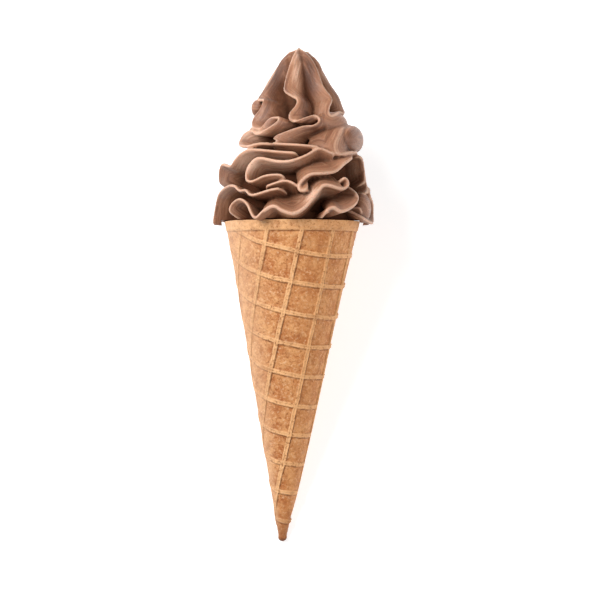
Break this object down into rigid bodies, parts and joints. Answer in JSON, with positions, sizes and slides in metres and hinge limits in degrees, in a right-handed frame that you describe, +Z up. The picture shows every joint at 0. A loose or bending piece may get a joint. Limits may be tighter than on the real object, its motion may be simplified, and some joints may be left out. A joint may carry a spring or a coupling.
{
  "type": "chocolate soft serve in a waffle cone",
  "caption": "Chocolate soft serve piped into a ruffled, pointed swirl that fills a rolled waffle cone with a raised square grid, lying on its side.",
  "frame": {"origin": "centre of the bounding box in X and Y, on the table the object lies on", "axes": "+Y from the cone's tip to the peak of the swirl, +Z up, with the side that is shown looking up"},
  "size_m": [0.0656, 0.1966, 0.0626],
  "materials": {
    "chocolate_soft_serve": "smooth, faintly moist chocolate ice cream",
    "baked_wafer": "dry baked wafer with a fine grain"
  },
  "bodies": {
    "root": {"soft_serve": "chocolate_soft_serve", "waffle_cone": "baked_wafer"}
  },
  "joints": []
}
